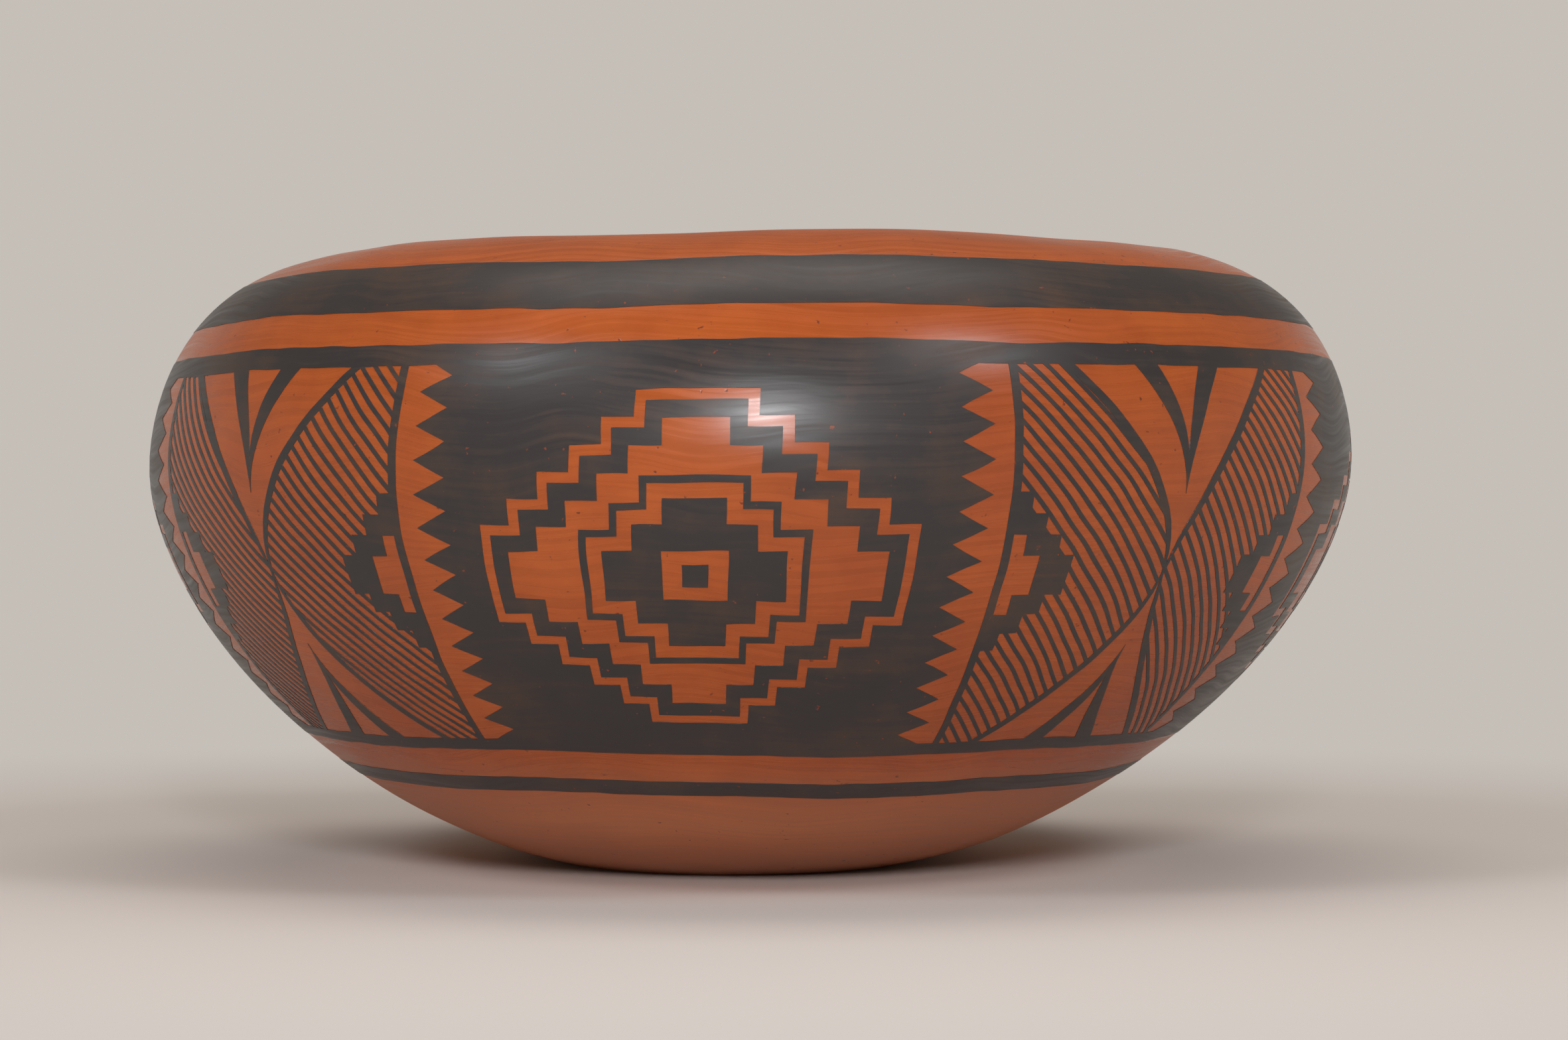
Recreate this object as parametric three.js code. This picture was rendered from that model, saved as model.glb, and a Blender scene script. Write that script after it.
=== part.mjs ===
// Coil-built pottery bowl: wide, low and round-bellied, with a drawn-in rim and no separate foot.
// A base pat is pressed in a shallow mould, and coils of clay are laid on it one by one and pinched up
// into the wall. Each coil sits in a groove thumbed along the top of the one below.
// Millimetres, +Z up, origin at the centre of the flat face that the bowl stands on.
import * as THREE from 'three';

// Outer shape
const BELLY_RADIUS = 100; // half of the greatest width
const BELLY_HEIGHT = 67; // table to the widest ring
const BOWL_HEIGHT = 100.5; // table to the top of the rim
const BASE_RADIUS = 27; // flat face that the bowl stands on
const MOUTH_RADIUS = 71; // clear opening inside the rim

// How the wall turns: reach of the curve's handles and its slope where it leaves the table and meets the rim
const BASE_SLOPE = 10; // degrees from level where the wall leaves the table
const BASE_REACH = 41;
const BELLY_REACH_DOWN = 23.5;
const BELLY_REACH_UP = 8.5;
const SHOULDER_REACH = 23;
const RIM_SLOPE = 13; // degrees from level where the wall meets the rim

// Thickness of the clay
const BASE_THICKNESS = 7.5;
const WALL_THICKNESS = 6;
const RIM_THICKNESS = 5;

// Clay courses, measured along the outside of the wall
const BASE_PAT_RISE = 47; // wall that belongs to the base pat
const COIL_COUNT = 7; // coils between the base pat and the mouth, the rim's included
const SEAM_LAP = 3.5; // how much higher a seam lies inside than outside
const SEAM_GROOVE = 1.2; // depth of the thumbed groove

// Facets
const FACETS_AROUND = 64;
const OUTSIDE_SPANS = 3; // spans up each coil
const BASE_SPANS = 7; // spans up the base pat's wall
const SEAM_SPANS = 3; // spans across each seam
const RIM_SPANS = 6; // spans over the rounded rim

// Finishes: colour and roughness of the burnished slip and paint that cover each course
const FOOT_SLIP = { color: 0x94503c, roughness: 0.45, metalness: 0 };
const PAINTED_FRIEZE = { color: 0x7c4a38, roughness: 0.35, metalness: 0 };
const DARK_NECK_BAND = { color: 0x4a4645, roughness: 0.35, metalness: 0 };
const RIM_SLIP = { color: 0xc4602c, roughness: 0.35, metalness: 0 };

const radians = THREE.MathUtils.degToRad;

// A step of length one in the plane of the section, at an angle up from level
function heading(angle) {
  return new THREE.Vector2(Math.cos(angle), Math.sin(angle));
}

// The outside of the wall, as radius and height, from the table to the start of the rounded rim
const rimRound = RIM_THICKNESS / 2;
const rimCentre = new THREE.Vector2(MOUTH_RADIUS + rimRound, BOWL_HEIGHT - rimRound);
const rimSlope = radians(RIM_SLOPE);
const baseSlope = radians(BASE_SLOPE);
const baseEdge = new THREE.Vector2(BASE_RADIUS, 0);
const belly = new THREE.Vector2(BELLY_RADIUS, BELLY_HEIGHT);
const wallTop = rimCentre.clone().addScaledVector(heading(Math.PI / 2 - rimSlope), rimRound);

const outside = new THREE.CurvePath();
outside.add(
  new THREE.CubicBezierCurve(
    baseEdge,
    baseEdge.clone().addScaledVector(heading(baseSlope), BASE_REACH),
    belly.clone().add(new THREE.Vector2(0, -BELLY_REACH_DOWN)),
    belly,
  ),
);
outside.add(
  new THREE.CubicBezierCurve(
    belly,
    belly.clone().add(new THREE.Vector2(0, BELLY_REACH_UP)),
    wallTop.clone().addScaledVector(heading(-rimSlope), SHOULDER_REACH),
    wallTop,
  ),
);
const outsideLength = outside.getLength();
const coilRise = (outsideLength - BASE_PAT_RISE) / COIL_COUNT;

// Thickness of the clay at a distance along the outside: the base thins to the wall and the wall to the rim
function thicknessAt(distance) {
  if (distance < BASE_PAT_RISE) {
    return THREE.MathUtils.lerp(BASE_THICKNESS, WALL_THICKNESS, distance / BASE_PAT_RISE);
  }
  const share = (distance - BASE_PAT_RISE) / (outsideLength - BASE_PAT_RISE);
  return THREE.MathUtils.lerp(WALL_THICKNESS, RIM_THICKNESS, share);
}

// A point in the clay: distance along the outside, and depth from 0 on the outside to 1 on the inside
function clayPoint(distance, depth) {
  const share = THREE.MathUtils.clamp(distance / outsideLength, 0, 1);
  const point = outside.getPoint(share);
  const along = outside.getTangent(share);
  const inward = new THREE.Vector2(-along.y, along.x);
  return point.addScaledVector(inward, depth * thicknessAt(distance));
}

// The outside or the inside of the wall between two distances
function wallFace(from, to, spans, depth) {
  return Array.from({ length: spans + 1 }, (_, i) => clayPoint(from + ((to - from) * i) / spans, depth));
}

// The seam on top of a course, from the outside in: it rises by the lap and dips into the groove
function seamFace(distance) {
  return Array.from({ length: SEAM_SPANS + 1 }, (_, i) => {
    const depth = i / SEAM_SPANS;
    return clayPoint(distance + SEAM_LAP * depth - SEAM_GROOVE * Math.sin(Math.PI * depth), depth);
  });
}

// Drops each point that repeats the one before it
function withoutRepeats(points) {
  return points.filter((point, i) => i === 0 || point.distanceTo(points[i - 1]) > 1e-6);
}

// A course of clay: its section turned about the bowl's axis
function course(name, finish, section) {
  const geometry = new THREE.LatheGeometry(withoutRepeats(section), FACETS_AROUND);
  geometry.rotateX(Math.PI / 2);
  const mesh = new THREE.Mesh(geometry, new THREE.MeshStandardMaterial(finish));
  mesh.name = name;
  return mesh;
}

// Base pat: the flat bottom and the first rise of the wall, in bare burnished slip
function basePat() {
  const top = BASE_PAT_RISE;
  const floorEdge = clayPoint(0, 1);
  return course('base_pat', FOOT_SLIP, [
    new THREE.Vector2(0, 0),
    ...wallFace(0, top, BASE_SPANS, 0),
    ...seamFace(top),
    ...wallFace(0, top + SEAM_LAP, BASE_SPANS, 1).reverse(),
    new THREE.Vector2(0, floorEdge.y),
  ]);
}

// Wall coil: a ring of pinched clay between two seams
function wallCoil(number) {
  const bottom = BASE_PAT_RISE + (number - 1) * coilRise;
  const top = bottom + coilRise;
  const finish = number < COIL_COUNT - 1 ? PAINTED_FRIEZE : DARK_NECK_BAND;
  return course(`wall_coil_${number}`, finish, [
    ...wallFace(bottom, top, OUTSIDE_SPANS, 0),
    ...seamFace(top),
    ...wallFace(bottom + SEAM_LAP, top + SEAM_LAP, OUTSIDE_SPANS, 1).reverse(),
    ...seamFace(bottom).reverse(),
  ]);
}

// Rim coil: the last ring, rounded over at the mouth
function rimCoil() {
  const bottom = BASE_PAT_RISE + (COIL_COUNT - 1) * coilRise;
  const turn = Math.PI / RIM_SPANS;
  const rounding = Array.from({ length: RIM_SPANS + 1 }, (_, i) => {
    return rimCentre.clone().addScaledVector(heading(Math.PI / 2 - rimSlope + i * turn), rimRound);
  });
  return course('rim_coil', RIM_SLIP, [
    ...wallFace(bottom, outsideLength, OUTSIDE_SPANS, 0).slice(0, -1),
    ...rounding,
    ...wallFace(bottom + SEAM_LAP, outsideLength, OUTSIDE_SPANS, 1).reverse().slice(1),
    ...seamFace(bottom).reverse(),
  ]);
}

const bowl = new THREE.Group();
bowl.add(basePat());
for (let number = 1; number < COIL_COUNT; number++) bowl.add(wallCoil(number));
bowl.add(rimCoil());

export default bowl;
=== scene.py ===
import math
import random

import bpy
import numpy as np
from mathutils.geometry import delaunay_2d_cdt
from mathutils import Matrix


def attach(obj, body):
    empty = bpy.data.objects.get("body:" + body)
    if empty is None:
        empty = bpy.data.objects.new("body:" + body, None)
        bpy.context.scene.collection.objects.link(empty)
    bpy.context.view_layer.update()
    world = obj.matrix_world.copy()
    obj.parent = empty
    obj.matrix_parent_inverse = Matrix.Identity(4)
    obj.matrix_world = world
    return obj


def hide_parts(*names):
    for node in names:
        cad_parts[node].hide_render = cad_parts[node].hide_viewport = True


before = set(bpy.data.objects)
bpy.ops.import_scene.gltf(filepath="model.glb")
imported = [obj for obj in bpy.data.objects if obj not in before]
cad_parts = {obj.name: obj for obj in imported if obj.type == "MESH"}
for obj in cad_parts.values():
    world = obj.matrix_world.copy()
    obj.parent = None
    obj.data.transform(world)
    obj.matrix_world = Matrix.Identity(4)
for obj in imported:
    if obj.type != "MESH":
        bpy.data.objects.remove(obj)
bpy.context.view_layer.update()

# Base pat: the bottom of the bowl, a thick round of buff clay pressed in a shallow mould and left to
# stiffen. The coils carry on its curve, so the whole wall's outline is drawn here, from the middle of the
# foot up the outside and over the lip. Places on it are lengths in millimetres from the foot's edge.
MM = 0.001
BELLY_RADIUS = 100.0
BELLY_HEIGHT = 67.0
BOWL_HEIGHT = 100.5
BASE_RADIUS = 27.0
MOUTH_RADIUS = 71.0
BASE_SLOPE = math.radians(10)
BASE_REACH = 41.0
BELLY_REACH_DOWN = 23.5
BELLY_REACH_UP = 8.5
SHOULDER_REACH = 23.0
RIM_SLOPE = math.radians(13)
BASE_THICKNESS = 7.5
WALL_THICKNESS = 6.0
RIM_THICKNESS = 5.0
BASE_PAT_RISE = 47.0
COIL_COUNT = 7
SEAM_LAP = 3.5
SEAM_GROOVE = 1.2
FLOOR_EASE = 8.0  # how far each side of the foot's edge the inside turns from floor to wall


def heading(angle):
    return np.array((math.cos(angle), math.sin(angle)))


def bezier(a, b, c, d, steps=600):
    t = np.linspace(0, 1, steps)[:, None]
    return a * (1 - t) ** 3 + 3 * b * t * (1 - t) ** 2 + 3 * c * t * t * (1 - t) + d * t**3


def wall_outline():
    """Length, radius, height and outward direction along the outside, from the foot over the lip."""
    up = np.array((0.0, 1.0))
    foot = np.array((BASE_RADIUS, 0.0))
    belly = np.array((BELLY_RADIUS, BELLY_HEIGHT))
    rim_round = RIM_THICKNESS / 2
    rim_centre = np.array((MOUTH_RADIUS + rim_round, BOWL_HEIGHT - rim_round))
    wall_top = rim_centre + heading(math.pi / 2 - RIM_SLOPE) * rim_round
    underside = np.linspace((0.0, 0.0), foot, 60)
    lower = bezier(foot, foot + heading(BASE_SLOPE) * BASE_REACH, belly - up * BELLY_REACH_DOWN, belly)
    shoulder = wall_top + heading(-RIM_SLOPE) * SHOULDER_REACH
    upper = bezier(belly, belly + up * BELLY_REACH_UP, shoulder, wall_top)
    turn = np.linspace(0, math.pi, 120)[1:, None] + math.pi / 2 - RIM_SLOPE
    lip = rim_centre + rim_round * np.hstack((np.cos(turn), np.sin(turn)))
    points = np.vstack((underside[:-1], lower[:-1], upper, lip))
    along = np.append(0.0, np.cumsum(np.linalg.norm(np.diff(points, axis=0), axis=1))) - BASE_RADIUS
    lean = np.unwrap(np.arctan2(np.gradient(points[:, 1]), np.gradient(points[:, 0])))
    eased = np.abs(along) < FLOOR_EASE
    eased_lean = np.interp(FLOOR_EASE, along, lean)
    lean[eased] = np.interp(along[eased], (-FLOOR_EASE, FLOOR_EASE), (0.0, eased_lean))
    return along, points[:, 0], points[:, 1], np.sin(lean), -np.cos(lean)


OUTLINE = wall_outline()
LIP_LENGTH = math.pi * RIM_THICKNESS / 2
WALL_LENGTH = OUTLINE[0][-1] - LIP_LENGTH
COIL_RISE = (WALL_LENGTH - BASE_PAT_RISE) / COIL_COUNT

# A hand-built wall is never quite true: the foot sits left of the axis, the mouth is a little out of round,
# and fingers have left long swells outside and shallow dents inside
OVAL = 0.25
FOOT_DRIFT = 3.1
SHOULDER_DRIFT = 0.5
RIM_TILT = 0.25
COIL_RIDGE = 0.35  # swell left inside at each coil
OVAL_TURN = 1.1  # radians
FOOT_EASE = 18  # length over which the unevenness starts at the foot
LIP_EASE = 12  # length over which the dents inside die out below the lip


def ripple(seed, size, longest, shortest, count=20):
    """Unevenness that closes on itself round the bowl: a fixed draw of waves, with the long ones highest."""
    draw = random.Random(seed)
    waves = []
    for _ in range(count):
        length = longest * (shortest / longest) ** draw.random()
        slant = draw.uniform(0, math.pi)
        turns = round(2 * math.pi * BELLY_RADIUS * math.cos(slant) / length)
        rate = 2 * math.pi * math.sin(slant) / length
        waves.append((turns, rate, draw.uniform(0, 2 * math.pi), size * (length / longest) ** 0.9))
    share = math.sqrt(2 / count)

    def at(angle, along):
        heights = (high * np.sin(turns * angle + rate * along + start) for turns, rate, start, high in waves)
        return share * sum(heights)

    return at


hand_swells = ripple(seed=3, size=0.3, longest=170, shortest=24)
pinch_dents = ripple(seed=8, size=0.55, longest=40, shortest=14)


def surface(angle, along, depth=0.0, lift=0.0):
    """Point of the finished wall in metres. Angle 0 faces front, and depth is 0 outside and 1 inside."""
    angle, along, depth = np.broadcast_arrays(angle, along, depth)
    radius, height, out, up = (np.interp(along, OUTLINE[0], column) for column in OUTLINE[1:])
    levels = (0, BASE_PAT_RISE, WALL_LENGTH)
    thickness = np.interp(along, levels, (BASE_THICKNESS, WALL_THICKNESS, RIM_THICKNESS))
    off_foot = np.clip(along / FOOT_EASE, 0, 1) ** 2
    swell = hand_swells(angle, along) + OVAL * np.cos(2 * angle - OVAL_TURN)
    coil_turn = 2 * math.pi * (along - BASE_PAT_RISE - SEAM_LAP) / COIL_RISE
    below_lip = np.clip((WALL_LENGTH - along) / LIP_EASE, 0, 1)
    pinched = below_lip * (pinch_dents(angle, along) - COIL_RIDGE * np.cos(coil_turn))
    shift = lift + off_foot * (swell + depth * pinched) - depth * thickness
    radius = radius + out * shift
    height = height + up * shift + RIM_TILT * np.sin(angle) * (np.clip(along, 0, None) / WALL_LENGTH) ** 3
    drift = SHOULDER_DRIFT - FOOT_DRIFT * np.clip(1 - height / BOWL_HEIGHT, 0, 1) ** 1.5
    return np.stack((radius * np.sin(angle) + drift, -radius * np.cos(angle), height), axis=-1) * MM


def outward(angle, along, depth=0.0):
    """Unit direction square to the finished wall."""
    step = 0.25
    turn = step / BELLY_RADIUS
    level = surface(angle + turn, along, depth) - surface(angle - turn, along, depth)
    rising = surface(angle, along + step, depth) - surface(angle, along - step, depth)
    square = np.cross(level, rising)
    return square / np.maximum(np.linalg.norm(square, axis=-1, keepdims=True), 1e-12)


def smooth_piece(name, points, faces, facing=None):
    """Makes an object; facing is the shading direction at each corner, or zero for the mesh's own."""
    mesh = bpy.data.meshes.new(name)
    mesh.from_pydata(points.tolist(), [], faces)
    mesh.polygons.foreach_set("use_smooth", np.ones(len(mesh.polygons), dtype=bool))
    mesh.update()
    if facing is not None:
        mesh.normals_split_custom_set(facing.tolist())
    piece = bpy.data.objects.new(name, mesh)
    bpy.context.scene.collection.objects.link(piece)
    return piece


def note(piece, name, values):
    """Keeps a number at each vertex, for a material or a node tree to read."""
    layer = piece.data.attributes.new(name, "FLOAT", "POINT")
    layer.data.foreach_set("value", np.asarray(values, dtype=np.float32))


AROUND = 360  # faces round each course
ROW = 1.2  # height of the rows of faces
NO_SLIP = 400.0  # length noted where the clay never had slip
turned = np.arange(AROUND) * 2 * math.pi / AROUND


def rows(start, end):
    return np.linspace(start, end, max(2, round(abs(end - start) / ROW) + 1))


def seam(length):
    """The lapped seam above a course, from the outside in, with the groove thumbed along it."""
    depth = np.linspace(0, 1, 9)
    return length + SEAM_LAP * depth - SEAM_GROOVE * np.sin(math.pi * depth), depth


def course(name, outside, inside, top=None, bottom=None):
    """A ring of clay between the seams above and below. With none below, its floor closes in the middle."""
    stretches = [(outside, np.zeros_like(outside), 1)]
    if top:
        stretches.append((*seam(top), 0))
    stretches.append((inside, np.ones_like(inside), -1))
    if bottom:
        low, low_depth = seam(bottom)
        stretches.append((low[::-1], low_depth[::-1], 0))
    along = np.concatenate([outside[:1]] + [stretch[1:] for stretch, _, _ in stretches])
    depth = np.concatenate([(0.0,)] + [stretch_depth[1:] for _, stretch_depth, _ in stretches])
    side = [face_side for stretch, _, face_side in stretches for _ in stretch[1:]]
    if bottom:
        along, depth = along[:-1], depth[:-1]
    count = len(along)
    numbers = np.arange(AROUND * count).reshape(AROUND, count)
    if not bottom:
        numbers[:, 0] = numbers[0, 0]
        numbers[:, -1] = numbers[0, -1]
    kept, numbers = np.unique(numbers, return_inverse=True)
    numbers = numbers.reshape(AROUND, count)
    normals = outward(turned[:, None], along, depth)
    faces, facing = [], []
    for i in range(AROUND):
        after = (i + 1) % AROUND
        for j, face_side in enumerate(side):
            up = (j + 1) % count
            corners = [(i, j), (after, j), (after, up), (i, up)]
            if numbers[i, j] == numbers[after, j]:
                corners.pop(1)
            if numbers[i, up] == numbers[after, up]:
                corners.pop()
            faces.append([int(numbers[corner]) for corner in corners])
            facing.extend(normals[corner] * face_side for corner in corners)
    points = surface(turned[:, None], along, depth).reshape(-1, 3)[kept]
    piece = smooth_piece(name, points, faces, np.array(facing))
    past_lip = 2 * WALL_LENGTH + LIP_LENGTH - along
    reach = np.where(depth == 0, along, np.where(depth == 1, past_lip, NO_SLIP))
    note(piece, "reach", np.tile(reach, AROUND)[kept])
    return piece


# The outside is rubbed with red iron-rich slip, burnished with a smooth stone and fired without a glaze: a
# satin gloss broken by level strokes, with faint smoke clouds. It turns paler, greyer and duller towards the
# foot and under the bowl, is worn on the lip and foot, and ends in an uneven edge just inside the mouth.
# Past that is scraped buff clay.
SLIP_DEEP = "9b461b"
SLIP_BRIGHT = "b65b25"
SLIP_SMOKED = "8a3f22"
SLIP_SPECK = "5e2b18"
SLIP_WORN = "b9794d"
# Paler, greyer slip colour that the outside fades to towards the foot
SLIP_FOOT_PALE = "cf8a62"
FOOT_PALE_FADE = (30, 50)  # lengths up the wall between which the paler, duller colour gives way to full slip
FOOT_PALE_SHARE = 0.6
BURNISHED_IOR = 1.43
CLAY_DEEP = "bd8f65"
CLAY_PALE = "dcb68f"
SLIP_INSIDE = 9.0  # how far past the lip the slip goes
LIP_CREST = 0.35 * LIP_LENGTH


def linear(code):
    """A colour written as sRGB hex, as linear red, green, blue and alpha."""
    parts = [int(code[i : i + 2], 16) / 255 for i in (0, 2, 4)]
    return tuple(p / 12.92 if p <= 0.04045 else ((p + 0.055) / 1.055) ** 2.4 for p in parts) + (1.0,)


def per_mm(size):
    """Noise scale for features of this many millimetres."""
    return 1 / (size * MM)


def new_material(name):
    made = bpy.data.materials.new(name)
    made.use_nodes = True
    made.node_tree.nodes.clear()
    return made, made.node_tree


def add(tree, kind, inputs=(), **settings):
    """Adds a node. Each input, by name or number, takes a value, a socket, or a node's first output."""
    node = tree.nodes.new(kind)
    for key, value in settings.items():
        setattr(node, key, value)
    for key, value in dict(inputs).items():
        by_name = {} if isinstance(key, int) else {s.name: s for s in node.inputs if s.enabled}
        socket = by_name[key] if by_name else node.inputs[key]
        if isinstance(value, bpy.types.Node):
            value = next(s for s in value.outputs if s.enabled)
        if isinstance(value, bpy.types.NodeSocket):
            tree.links.new(value, socket)
        else:
            socket.default_value = value
    return node


def strokes_round(tree, place, reach, length, width, stray):
    """Noise in strokes round the bowl, given their length, width and straying from level in millimetres."""
    drift = add(tree, "ShaderNodeTexNoise", {"Vector": place, "Scale": per_mm(0.8 * length), "Detail": 1.0})
    strayed = add(tree, "ShaderNodeMath", {0: drift, 1: stray, 2: reach}, operation="MULTIPLY_ADD")
    split = add(tree, "ShaderNodeSeparateXYZ", {"Vector": place})
    across = add(tree, "ShaderNodeMath", {0: split.outputs["X"], 1: per_mm(length)}, operation="MULTIPLY")
    deep = add(tree, "ShaderNodeMath", {0: split.outputs["Y"], 1: per_mm(length)}, operation="MULTIPLY")
    up = add(tree, "ShaderNodeMath", {0: strayed, 1: 1 / width}, operation="MULTIPLY")
    drawn = add(tree, "ShaderNodeCombineXYZ", {"X": across, "Y": deep, "Z": up})
    return add(tree, "ShaderNodeTexNoise", {"Vector": drawn, "Scale": 1.0, "Detail": 3.0, "Roughness": 0.6})


slip, tree = new_material("burnished_red_slip_on_buff_clay")
place = add(tree, "ShaderNodeTexCoord").outputs["Object"]
reach = add(tree, "ShaderNodeAttribute", attribute_name="reach").outputs["Fac"]
strokes = strokes_round(tree, place, reach, length=42, width=0.9, stray=12)
facets = strokes_round(tree, place, reach, length=30, width=5.0, stray=16)
mottle = add(
    tree,
    "ShaderNodeTexNoise",
    {"Vector": place, "Scale": per_mm(8), "Detail": 4.0, "Roughness": 0.6},
)
smoke = add(tree, "ShaderNodeTexNoise", {"Vector": place, "Scale": per_mm(75), "Detail": 3.0})
grit = add(tree, "ShaderNodeTexNoise", {"Vector": place, "Scale": per_mm(1.2), "Detail": 2.0})

# Slip colour
red = add(
    tree,
    "ShaderNodeMix",
    {"Factor": mottle, "A": linear(SLIP_DEEP), "B": linear(SLIP_BRIGHT)},
    data_type="RGBA",
)
smoky = add(tree, "ShaderNodeMapRange", {"Value": smoke, "From Min": 0.5, "From Max": 0.78, "To Max": 0.75})
clouded = add(
    tree, "ShaderNodeMix", {"Factor": smoky, "A": red, "B": linear(SLIP_SMOKED)}, data_type="RGBA"
)
streak = add(
    tree,
    "ShaderNodeMapRange",
    {"Value": strokes, "From Min": 0.35, "From Max": 0.65, "To Min": 0.9, "To Max": 1.06},
)
# Paler, greyer colour and duller gloss towards the foot and under the bowl, fading by length up the wall
paler_foot = add(
    tree,
    "ShaderNodeMapRange",
    {
        "Value": reach,
        "From Min": FOOT_PALE_FADE[0],
        "From Max": FOOT_PALE_FADE[1],
        "To Min": FOOT_PALE_SHARE,
        "To Max": 0.0,
    },
)
paled_colour = add(
    tree, "ShaderNodeMix", {"Factor": paler_foot, "A": clouded, "B": linear(SLIP_FOOT_PALE)}, data_type="RGBA"
)
streaked = add(
    tree,
    "ShaderNodeMix",
    {"Factor": 1.0, "A": paled_colour, "B": streak},
    data_type="RGBA",
    blend_type="MULTIPLY",
)
gritty = add(tree, "ShaderNodeMapRange", {"Value": grit, "From Min": 0.71, "From Max": 0.76, "To Max": 0.8})
specked = add(
    tree, "ShaderNodeMix", {"Factor": gritty, "A": streaked, "B": linear(SLIP_SPECK)}, data_type="RGBA"
)

# Wear on the lip and at the edge of the foot
from_lip = add(tree, "ShaderNodeMath", {0: reach, 1: WALL_LENGTH + LIP_CREST}, operation="SUBTRACT")
from_lip = add(tree, "ShaderNodeMath", {0: from_lip}, operation="ABSOLUTE")
from_foot = add(tree, "ShaderNodeMath", {0: reach}, operation="ABSOLUTE")
from_edge = add(tree, "ShaderNodeMath", {0: from_lip, 1: from_foot}, operation="MINIMUM")
kept_slip = add(
    tree, "ShaderNodeMapRange", {"Value": from_edge, "From Max": 4.5, "To Min": 0.51, "To Max": 0.78}
)
rub = add(tree, "ShaderNodeMath", {0: mottle, 1: kept_slip}, operation="SUBTRACT")
rubbed = add(tree, "ShaderNodeMapRange", {"Value": rub, "From Max": 0.05, "To Max": 0.7})
worn = add(
    tree, "ShaderNodeMix", {"Factor": rubbed, "A": specked, "B": linear(SLIP_WORN)}, data_type="RGBA"
)

# Bare clay inside
wander = add(tree, "ShaderNodeTexNoise", {"Vector": place, "Scale": per_mm(16), "Detail": 3.0})
wandered = add(tree, "ShaderNodeMath", {0: wander, 1: 8.0, 2: reach}, operation="MULTIPLY_ADD")
slip_end = WALL_LENGTH + LIP_LENGTH + SLIP_INSIDE + 4
bare = add(
    tree, "ShaderNodeMapRange", {"Value": wandered, "From Min": slip_end - 0.7, "From Max": slip_end + 0.7}
)
scrape = strokes_round(tree, place, reach, length=26, width=2.8, stray=9)
clay = add(
    tree,
    "ShaderNodeMix",
    {"Factor": mottle, "A": linear(CLAY_DEEP), "B": linear(CLAY_PALE)},
    data_type="RGBA",
)
scraped = add(
    tree,
    "ShaderNodeMapRange",
    {"Value": scrape, "From Min": 0.35, "From Max": 0.65, "To Min": 0.91, "To Max": 1.03},
)
clay = add(
    tree,
    "ShaderNodeMix",
    {"Factor": 1.0, "A": clay, "B": scraped},
    data_type="RGBA",
    blend_type="MULTIPLY",
)
sooty = add(
    tree,
    "ShaderNodeMapRange",
    {"Value": smoke, "From Min": 0.4, "From Max": 0.8, "To Min": 1.0, "To Max": 0.72},
)
clay = add(
    tree,
    "ShaderNodeMix",
    {"Factor": 1.0, "A": clay, "B": sooty},
    data_type="RGBA",
    blend_type="MULTIPLY",
)
clay = add(tree, "ShaderNodeMix", {"Factor": gritty, "A": clay, "B": linear(SLIP_SPECK)}, data_type="RGBA")
colour = add(tree, "ShaderNodeMix", {"Factor": bare, "A": worn, "B": clay}, data_type="RGBA")

# Gloss and relief, in millimetres
gloss = add(
    tree,
    "ShaderNodeMapRange",
    {"Value": strokes, "From Min": 0.3, "From Max": 0.7, "To Min": 0.2, "To Max": 0.35},
)
duller = add(tree, "ShaderNodeMath", {0: paler_foot, 1: 0.4, 2: gloss}, operation="MULTIPLY_ADD")
dulled = add(tree, "ShaderNodeMix", {"Factor": rubbed, "A": duller, "B": 0.55})
roughness = add(tree, "ShaderNodeMix", {"Factor": bare, "A": dulled, "B": 0.8})
fine = add(tree, "ShaderNodeMath", {0: strokes, 1: 0.012}, operation="MULTIPLY")
fine = add(tree, "ShaderNodeMath", {0: facets, 1: 0.05, 2: fine}, operation="MULTIPLY_ADD")
pitted = add(tree, "ShaderNodeMath", {0: gritty, 1: -0.02, 2: fine}, operation="MULTIPLY_ADD")
coarse = add(tree, "ShaderNodeMath", {0: scrape, 1: 0.7}, operation="MULTIPLY")
coarse = add(tree, "ShaderNodeMath", {0: grit, 1: 0.12, 2: coarse}, operation="MULTIPLY_ADD")
relief = add(tree, "ShaderNodeMix", {"Factor": bare, "A": pitted, "B": coarse})
bump = add(tree, "ShaderNodeBump", {"Strength": 1.0, "Distance": MM, "Height": relief})
shader = add(
    tree,
    "ShaderNodeBsdfPrincipled",
    {"Base Color": colour, "Roughness": roughness, "IOR": BURNISHED_IOR, "Normal": bump},
)
add(tree, "ShaderNodeOutputMaterial", {"Surface": shader})

base_outside = rows(-BASE_RADIUS, BASE_PAT_RISE)
base_inside = rows(BASE_PAT_RISE + SEAM_LAP, -BASE_RADIUS)
base_pat = course("base_pat_clay", base_outside, base_inside, top=BASE_PAT_RISE)
base_pat.data.materials.append(slip)
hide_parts("base_pat")
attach(base_pat, "root")

# Wall coils: six rolls of clay laid one on the other, each pinched up from the thumbed groove of the last
# and smeared into it inside and out, so that only faint swells inside still tell them apart.
for number in range(1, COIL_COUNT):
    bottom = BASE_PAT_RISE + (number - 1) * COIL_RISE
    top = bottom + COIL_RISE
    inside = rows(top + SEAM_LAP, bottom + SEAM_LAP)
    wall_coil = course(f"wall_coil_{number}_clay", rows(bottom, top), inside, top, bottom)
    wall_coil.data.materials.append(slip)
    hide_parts(f"wall_coil_{number}")
    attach(wall_coil, "root")

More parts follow.
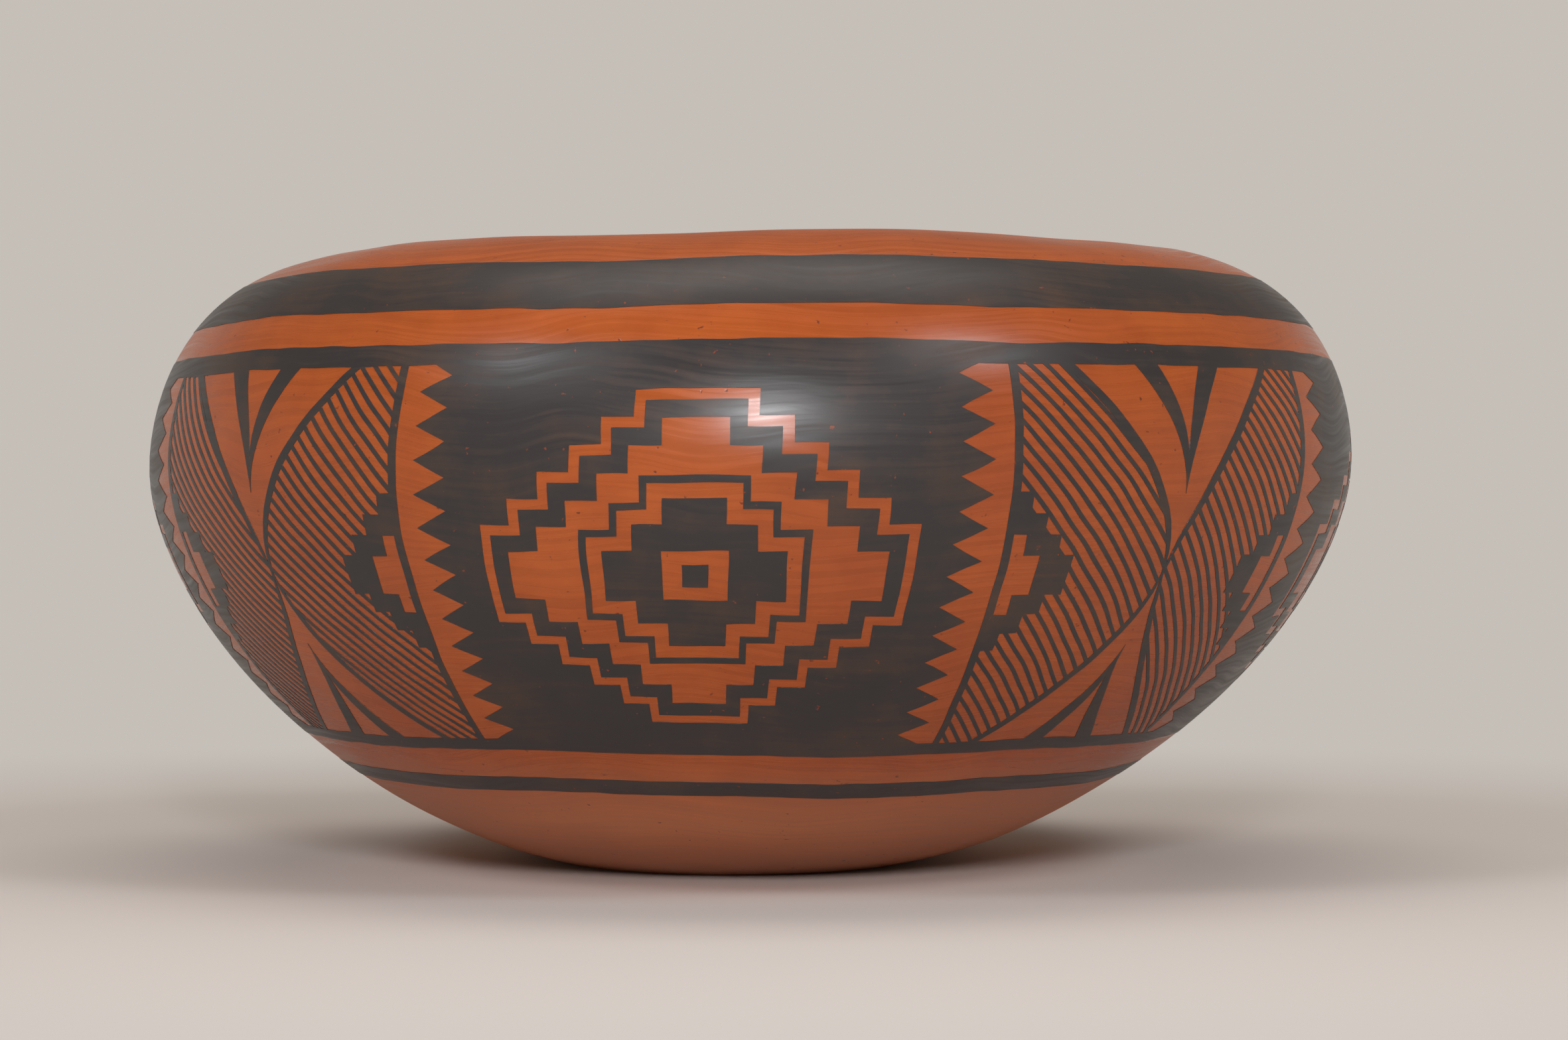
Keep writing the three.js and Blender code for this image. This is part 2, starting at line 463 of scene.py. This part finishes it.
# Rim coil: the last coil, thinned between finger and thumb and rounded over with a strip of wet hide.
bottom = WALL_LENGTH - COIL_RISE
over_lip = np.linspace(WALL_LENGTH, WALL_LENGTH + LIP_LENGTH, 19)[1:]
rim_outside = np.concatenate((rows(bottom, WALL_LENGTH), over_lip))
rim_inside = rows(WALL_LENGTH, bottom + SEAM_LAP)
rim_coil = course("rim_coil_clay", rim_outside, rim_inside, bottom=bottom)
rim_coil.data.materials.append(slip)
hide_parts("rim_coil")
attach(rim_coil, "root")

# Neck band and foot line: brown-black mineral paint laid on with a chewed-yucca brush and burnished with the
# slip. Each is a closed film with slightly wavering edges, standing a hair proud of the slip.
NECK_BAND_FOOT = 88.4  # heights
NECK_BAND_TOP = 95.8
FOOT_LINE_FOOT = 15.3
FOOT_LINE_TOP = 17.6
PAINT_PROUD = 0.07
PAINT_ROOT = 0.05
PAINT_THICK = "332f2f"
PAINT_THIN = "4c392f"
brush_up = ripple(seed=21, size=0.34, longest=120, shortest=16)
brush_round = ripple(seed=22, size=0.34, longest=120, shortest=16)
brush_edge = ripple(seed=23, size=0.08, longest=15, shortest=5)


def length_at(height):
    """Length up the wall at a height."""
    wall = (OUTLINE[0] >= 0) & (OUTLINE[0] <= WALL_LENGTH)
    return float(np.interp(height, OUTLINE[2][wall], OUTLINE[0][wall]))


def paint_film(name, angle, along, faces):
    """Lays a flat pattern on the wall as a closed film of paint, with a brush's waver."""
    waver = brush_up(angle, along) + brush_edge(angle, along)
    sideways = brush_round(angle, along) + brush_edge(angle, along + 50)
    angle, along = angle + sideways / BELLY_RADIUS, along + waver
    normals = outward(angle, along)
    count = len(angle)
    edges = {(a, b) for face in faces for a, b in zip(face, face[1:] + face[:1])}
    under = [[v + count for v in reversed(face)] for face in faces]
    walls = [[a, a + count, b + count, b] for a, b in sorted(edges) if (b, a) not in edges]
    facing = [normals[v] for face in faces for v in face]
    facing += [-normals[v - count] for face in under for v in face]
    facing += [np.zeros(3)] * (4 * len(walls))
    points = np.vstack((surface(angle, along, lift=PAINT_PROUD), surface(angle, along, lift=-PAINT_ROOT)))
    film = smooth_piece(name, points, faces + under + walls, np.array(facing))
    note(film, "reach", np.tile(along, 2))
    return film


def painted_band(name, foot, top):
    """A plain band of paint between two heights."""
    low, high = length_at(foot), length_at(top)
    along = np.linspace(low, high, max(3, round((high - low) / 1.5) + 1))
    count = len(along)
    faces = [
        [a * count + j, b * count + j, b * count + j + 1, a * count + j + 1]
        for a, b in zip(range(AROUND), [*range(1, AROUND), 0])
        for j in range(count - 1)
    ]
    return paint_film(name, np.repeat(turned, count), np.tile(along, AROUND), faces)


paint, tree = new_material("burnished_mineral_paint")
place = add(tree, "ShaderNodeTexCoord").outputs["Object"]
reach = add(tree, "ShaderNodeAttribute", attribute_name="reach").outputs["Fac"]
strokes = strokes_round(tree, place, reach, length=38, width=1.0, stray=12)
facets = strokes_round(tree, place, reach, length=30, width=5.0, stray=16)
load = add(
    tree,
    "ShaderNodeTexNoise",
    {"Vector": place, "Scale": per_mm(13), "Detail": 5.0, "Roughness": 0.62},
)
grit = add(tree, "ShaderNodeTexNoise", {"Vector": place, "Scale": per_mm(1.0), "Detail": 2.0})
thinness = add(tree, "ShaderNodeMath", {0: strokes, 1: 0.5, 2: load}, operation="MULTIPLY_ADD")
thin = add(tree, "ShaderNodeMapRange", {"Value": thinness, "From Min": 0.7, "From Max": 1.05})
brown = add(
    tree,
    "ShaderNodeMix",
    {"Factor": thin, "A": linear(PAINT_THICK), "B": linear(PAINT_THIN)},
    data_type="RGBA",
)
pinholes = add(
    tree, "ShaderNodeMapRange", {"Value": grit, "From Min": 0.72, "From Max": 0.78, "To Max": 0.8}
)
colour = add(
    tree, "ShaderNodeMix", {"Factor": pinholes, "A": brown, "B": linear(SLIP_SMOKED)}, data_type="RGBA"
)
gloss = add(
    tree,
    "ShaderNodeMapRange",
    {"Value": strokes, "From Min": 0.3, "From Max": 0.7, "To Min": 0.29, "To Max": 0.45},
)
fine = add(tree, "ShaderNodeMath", {0: strokes, 1: 0.012}, operation="MULTIPLY")
relief = add(tree, "ShaderNodeMath", {0: facets, 1: 0.05, 2: fine}, operation="MULTIPLY_ADD")
bump = add(tree, "ShaderNodeBump", {"Strength": 1.0, "Distance": MM, "Height": relief})
shader = add(
    tree,
    "ShaderNodeBsdfPrincipled",
    {"Base Color": colour, "Roughness": gloss, "IOR": BURNISHED_IOR, "Normal": bump},
)
add(tree, "ShaderNodeOutputMaterial", {"Surface": shader})

neck_band = painted_band("neck_band_paint", NECK_BAND_FOOT, NECK_BAND_TOP)
foot_line = painted_band("foot_line_paint", FOOT_LINE_FOOT, FOOT_LINE_TOP)
for band, slot in ((neck_band, "dark_band"), (foot_line, "painted_wall")):
    band.data.materials.append(paint)
    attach(band, "root")

# Painted frieze: the same paint, in four repeats of two panels parted by toothed strips. One panel is a
# stepped lozenge on a dark ground, the other curved-sided triangles on fine hatching. One repeat is laid
# out flat, in millimetres round the belly and up from the frieze's foot, and turned round the bowl.
FRIEZE_FOOT = 22.2  # heights
FRIEZE_TOP = 83.2
FRIEZE_TURN = math.radians(41)  # a lozenge faces the front
REPEATS = 4
HALF = math.pi * BELLY_RADIUS / REPEATS
LOW = length_at(FRIEZE_FOOT)
TALL = length_at(FRIEZE_TOP) - LOW
MIDDLE = TALL / 2
DARK_HALF = 38.5
DIVIDER = 9.0
TEETH = 14  # up each divider
TOOTH = 5.2
DIVIDER_LINE = 1.4
HATCHED_HALF = HALF - DARK_HALF - DIVIDER
HATCH_PITCH = 1.9
HATCH_LINE = 0.7
TOP_BORDER = 3.4
LOW_BORDER = 2.6
EDGE_STEP = 1.3  # longest straight piece of an edge
FILL_STEP = 2.8  # spacing of the points inside a painted area
shapes = []


def clipped(loop, x0, y0, x1, y1):
    """The part of a loop inside a rectangle."""
    for axis, limit, sign in ((0, x0, 1), (0, x1, -1), (1, y0, 1), (1, y1, -1)):
        kept = []
        for a, b in zip(loop, loop[1:] + loop[:1]):
            a_in, b_in = sign * (a[axis] - limit) >= 0, sign * (b[axis] - limit) >= 0
            if a_in:
                kept.append(a)
            if a_in != b_in:
                share = (limit - a[axis]) / (b[axis] - a[axis])
                kept.append((a[0] + (b[0] - a[0]) * share, a[1] + (b[1] - a[1]) * share))
        loop = kept
    return loop


def lay(painted, loop):
    """Lays a shape over those before it, painted or bare, anticlockwise and kept to the repeat."""
    loop = clipped(loop, -HALF, 0, HALF, TALL)
    turning = sum(a[0] * b[1] - b[0] * a[1] for a, b in zip(loop, loop[1:] + loop[:1]))
    shapes.append((painted, loop if turning > 0 else loop[::-1]))


def rectangle(x0, y0, x1, y1):
    return [(x0, y0), (x1, y0), (x1, y1), (x0, y1)]


def stepped_lozenge(painted, x, half_width, half_height, steps, grow=0.0):
    """A lozenge with stepped sides on the frieze's middle line, as crossed rectangles."""
    for step in range(steps):
        wide = half_width * (steps - step) / steps + grow
        high = half_height * (step + 1) / steps + grow
        lay(painted, rectangle(x - wide, MIDDLE - high, x + wide, MIDDLE + high))


def curved_triangle(painted, base, tip, half_base, curve=1.7):
    """A triangle in the middle of the hatched panel, with sides that curve in to its tip."""
    shares = np.linspace(0, 1, 15)
    side = [(half_base * (1 - share) ** curve, base + (tip - base) * share) for share in shares]
    lay(painted, side + [(-x, y) for x, y in reversed(side[:-1])])


lay(False, rectangle(-HALF, 0, HALF, TALL))

# Hatched panel, in the middle of the repeat
diagonal = math.sqrt(0.5)
for k in range(math.ceil((2 * HATCHED_HALF + TALL) * diagonal / HATCH_PITCH)):
    near = -HATCHED_HALF + (k * HATCH_PITCH - HATCH_LINE / 2) / diagonal
    far = near + HATCH_LINE / diagonal
    line = [(near, 0), (far, 0), (far - TALL, TALL), (near - TALL, TALL)]
    line = clipped(line, -HATCHED_HALF, 0, HATCHED_HALF, TALL)
    if len(line) > 2:
        lay(True, line)
for base, inward in ((TALL, -1), (0, 1)):
    tip = MIDDLE - inward * 0.8
    curved_triangle(True, base, tip + inward * 3.0, 26.5)
    curved_triangle(False, base, tip, 24.5)
    curved_triangle(True, base, tip - inward * 12, 12)
    curved_triangle(False, base, tip - inward * 17.5, 6.5)
for side in (-HATCHED_HALF, HATCHED_HALF):
    stepped_lozenge(True, side, 12, 13, 4)
    stepped_lozenge(False, side, 6, 6.5, 2)

# Dark panel, half at each end of the repeat, and the dividers
for side in (-1, 1):
    lay(True, rectangle(side * (HALF - DARK_HALF), 0, side * HALF, TALL))
    x = side * HALF
    stepped_lozenge(False, x, 29, 23.5, 6, 4.2)
    stepped_lozenge(True, x, 29, 23.5, 6, 2.6)
    stepped_lozenge(False, x, 29, 23.5, 6)
    stepped_lozenge(True, x, 14, 12, 3, 3.4)
    stepped_lozenge(False, x, 14, 12, 3, 2.3)
    stepped_lozenge(True, x, 14, 12, 3)
    stepped_lozenge(False, x, 5, 4, 1)
    stepped_lozenge(True, x, 2, 1.8, 1)
    x = side * (HATCHED_HALF + DIVIDER / 2)
    lay(False, rectangle(x - DIVIDER / 2, 0, x + DIVIDER / 2, TALL))
    x = side * HATCHED_HALF
    lay(True, rectangle(x - DIVIDER_LINE / 2, 0, x + DIVIDER_LINE / 2, TALL))
    x = side * (HATCHED_HALF + DIVIDER)
    for tooth in range(TEETH):
        foot, top = TALL * tooth / TEETH, TALL * (tooth + 1) / TEETH
        lay(True, [(x, foot), (x - side * TOOTH, (foot + top) / 2), (x, top)])
lay(True, rectangle(-HALF, TALL - TOP_BORDER, HALF, TALL))
lay(True, rectangle(-HALF, 0, HALF, LOW_BORDER))


def one_repeat():
    """The painted part of a repeat as triangles, on the wall as it would be if true."""
    corners, loops = [], []
    for _, loop in shapes:
        first = len(corners)
        for a, b in zip(loop, loop[1:] + loop[:1]):
            steps = max(1, math.ceil(math.dist(a, b) / EDGE_STEP))
            shares = (k / steps for k in range(steps))
            corners.extend((a[0] + (b[0] - a[0]) * share, a[1] + (b[1] - a[1]) * share) for share in shares)
        loops.append(list(range(first, len(corners))))
    for row, y in enumerate(np.arange(FILL_STEP / 2, TALL, FILL_STEP)):
        start = -HALF + FILL_STEP * (0.5 + 0.5 * (row % 2))
        corners.extend((x, y) for x in np.arange(start, HALF - FILL_STEP / 3, FILL_STEP))
    points, _, faces, _, _, laid = delaunay_2d_cdt(corners, [], loops, 1, 1e-4, True)
    painted = [face for face, below in zip(faces, laid) if below and shapes[max(below)][0]]
    used = sorted({v for face in painted for v in face})
    renumbered = {v: i for i, v in enumerate(used)}
    flat = np.array([points[v] for v in used])
    angle, along = flat[:, 0] / BELLY_RADIUS, flat[:, 1] + LOW
    radius, height = (np.interp(along, OUTLINE[0], column) for column in OUTLINE[1:3])
    wrapped = np.stack((radius * np.sin(angle), -radius * np.cos(angle), height), axis=-1) * MM
    piece = smooth_piece("frieze_repeat", wrapped, [[renumbered[v] for v in face] for face in painted])
    note(piece, "along", along)
    return piece


def turned_round(piece, count, material):
    """Repeats a piece round the bowl's axis and gives the joined mesh."""
    tree = bpy.data.node_groups.new("turned_round", "GeometryNodeTree")
    tree.interface.new_socket("Geometry", in_out="INPUT", socket_type="NodeSocketGeometry")
    count_input = tree.interface.new_socket("Count", in_out="INPUT", socket_type="NodeSocketInt")
    material_input = tree.interface.new_socket("Material", in_out="INPUT", socket_type="NodeSocketMaterial")
    tree.interface.new_socket("Geometry", in_out="OUTPUT", socket_type="NodeSocketGeometry")
    given = add(tree, "NodeGroupInput").outputs
    spots = add(tree, "GeometryNodeMeshLine", {"Count": given["Count"], "Offset": (0.0, 0.0, 0.0)})
    share = add(tree, "ShaderNodeMath", {0: 2 * math.pi, 1: given["Count"]}, operation="DIVIDE")
    index = add(tree, "GeometryNodeInputIndex")
    turn = add(tree, "ShaderNodeMath", {0: index, 1: share}, operation="MULTIPLY")
    about_axis = add(tree, "ShaderNodeCombineXYZ", {"Z": turn})
    copies = add(
        tree,
        "GeometryNodeInstanceOnPoints",
        {"Points": spots, "Instance": given["Geometry"], "Rotation": about_axis},
    )
    joined = add(tree, "GeometryNodeRealizeInstances", {"Geometry": copies})
    welded = add(tree, "GeometryNodeMergeByDistance", {"Geometry": joined, "Distance": 0.02 * MM})
    finished = add(tree, "GeometryNodeSetMaterial", {"Geometry": welded, "Material": given["Material"]})
    add(tree, "NodeGroupOutput", {"Geometry": finished})
    modifier = piece.modifiers.new("turned_round", "NODES")
    modifier.node_group = tree
    modifier[count_input.identifier] = count
    modifier[material_input.identifier] = material
    mesh = bpy.data.meshes.new_from_object(piece.evaluated_get(bpy.context.evaluated_depsgraph_get()))
    piece.modifiers.clear()
    return mesh


repeat = one_repeat()
ring = turned_round(repeat, REPEATS, paint)
bpy.data.objects.remove(repeat)
spots = np.empty((len(ring.vertices), 3))
ring.vertices.foreach_get("co", spots.ravel())
along = np.empty(len(ring.vertices))
ring.attributes["along"].data.foreach_get("value", along)
angle = np.arctan2(spots[:, 0], -spots[:, 1]) + FRIEZE_TURN
frieze = paint_film("frieze_paint", angle, along, [list(face.vertices) for face in ring.polygons])
frieze.data.materials.append(paint)
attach(frieze, "root")

# Floor, room and lamps: a pale cloth floor that fades into a backdrop of the same tone, a soft lamp at each
# side in front and one overhead, and a small one over the camera for the bright spot on the shoulder.
FLOOR_RADIUS = 4.0
FLOOR_SIDES = 96
FLOOR_FADE = (0.12, 0.36)  # metres from the bowl between which floor turns to backdrop
FLOOR_COLOUR = "dad4d0"
BACKDROP_COLOUR = "c5bfb8"
FILL_COLOUR = "f6e6d2"
FILL_STRENGTH = 0.29
CEILING_COLOUR = "847b72"
WALL_TOP = (0.14, 0.5)  # sines of the angles over level between which the backdrop turns to dim ceiling
circle = np.linspace(0, 2 * math.pi, FLOOR_SIDES + 1)[:-1]
floor_edge = np.stack((np.cos(circle), np.sin(circle), np.zeros(FLOOR_SIDES)), axis=-1) * FLOOR_RADIUS
floor = smooth_piece("floor", floor_edge, [list(range(FLOOR_SIDES))])
cloth, tree = new_material("pale_cotton_cloth")
place = add(tree, "ShaderNodeTexCoord").outputs["Object"]
away = add(tree, "ShaderNodeVectorMath", {0: place}, operation="LENGTH")
fade = add(
    tree,
    "ShaderNodeMapRange",
    {"Value": away, "From Min": FLOOR_FADE[0], "From Max": FLOOR_FADE[1]},
    interpolation_type="SMOOTHSTEP",
)
matt = add(tree, "ShaderNodeBsdfDiffuse", {"Color": linear(FLOOR_COLOUR)})
glow = add(tree, "ShaderNodeEmission", {"Color": linear(BACKDROP_COLOUR), "Strength": 1.0})
blend = add(tree, "ShaderNodeMixShader", {0: fade, 1: matt, 2: glow})
add(tree, "ShaderNodeOutputMaterial", {"Surface": blend})
floor.data.materials.append(cloth)

room = bpy.data.worlds.new("pale_room")
bpy.context.scene.world = room
room.use_nodes = True
tree = room.node_tree
tree.nodes.clear()
rays = add(tree, "ShaderNodeLightPath").outputs
seen = add(tree, "ShaderNodeMath", {0: rays["Is Camera Ray"], 1: rays["Is Glossy Ray"]}, operation="ADD")
seen = add(
    tree,
    "ShaderNodeMath",
    {0: seen, 1: rays["Is Transmission Ray"]},
    operation="ADD",
    use_clamp=True,
)
fill = add(tree, "ShaderNodeBackground", {"Color": linear(FILL_COLOUR), "Strength": FILL_STRENGTH})
towards = add(tree, "ShaderNodeTexCoord").outputs["Generated"]
rise = add(tree, "ShaderNodeSeparateXYZ", {"Vector": towards}).outputs["Z"]
over_wall = add(
    tree,
    "ShaderNodeMapRange",
    {"Value": rise, "From Min": WALL_TOP[0], "From Max": WALL_TOP[1]},
    interpolation_type="SMOOTHSTEP",
)
wall = add(
    tree,
    "ShaderNodeMix",
    {"Factor": over_wall, "A": linear(BACKDROP_COLOUR), "B": linear(CEILING_COLOUR)},
    data_type="RGBA",
)
backdrop = add(tree, "ShaderNodeBackground", {"Color": wall, "Strength": 1.0})
blend = add(tree, "ShaderNodeMixShader", {0: seen, 1: fill, 2: backdrop})
add(tree, "ShaderNodeOutputWorld", {"Surface": blend})


def lamp(name, turn, rise, distance, width, height, power, colour):
    """A soft lamp aimed at the belly; turn is to the right of the front and rise above level."""
    light = bpy.data.lights.new(name, "AREA")
    light.shape = "RECTANGLE"
    light.size = width
    light.size_y = height
    light.energy = power
    light.color = linear(colour)[:3]
    turn, rise = math.radians(turn), math.radians(rise)
    level = math.cos(rise) * distance
    above = math.sin(rise) * distance + BELLY_HEIGHT * MM
    stand = bpy.data.objects.new(name, light)
    stand.location = (math.sin(turn) * level, -math.cos(turn) * level, above)
    stand.rotation_euler = (math.pi / 2 - rise, 0, turn)
    bpy.context.scene.collection.objects.link(stand)


lamp("left_lamp", turn=-47, rise=38, distance=1.1, width=0.26, height=0.26, power=2.1, colour="fbfcff")
lamp("right_lamp", turn=46, rise=41, distance=1.1, width=0.26, height=0.26, power=2.1, colour="fbfcff")
lamp("front_lamp", turn=1.5, rise=15, distance=0.8, width=0.06, height=0.18, power=3.0, colour="fbfcff")
lamp("top_lamp", turn=180, rise=86, distance=1.0, width=0.9, height=0.5, power=2.7, colour="fff9f2")

# Camera: level and a little below the belly, as the photograph was taken.
LENS = 89.7
CAMERA_RIGHT = 5.5
CAMERA_AWAY = 657
CAMERA_HEIGHT = 57.3
camera_data = bpy.data.cameras.new("camera")
camera_data.sensor_width = 36.0
camera_data.lens = LENS
camera = bpy.data.objects.new("camera", camera_data)
camera.location = (CAMERA_RIGHT * MM, -CAMERA_AWAY * MM, CAMERA_HEIGHT * MM)
camera.rotation_euler = (math.pi / 2, 0, 0)
bpy.context.scene.collection.objects.link(camera)
bpy.context.scene.camera = camera
bpy.context.scene.view_settings.view_transform = "Standard"
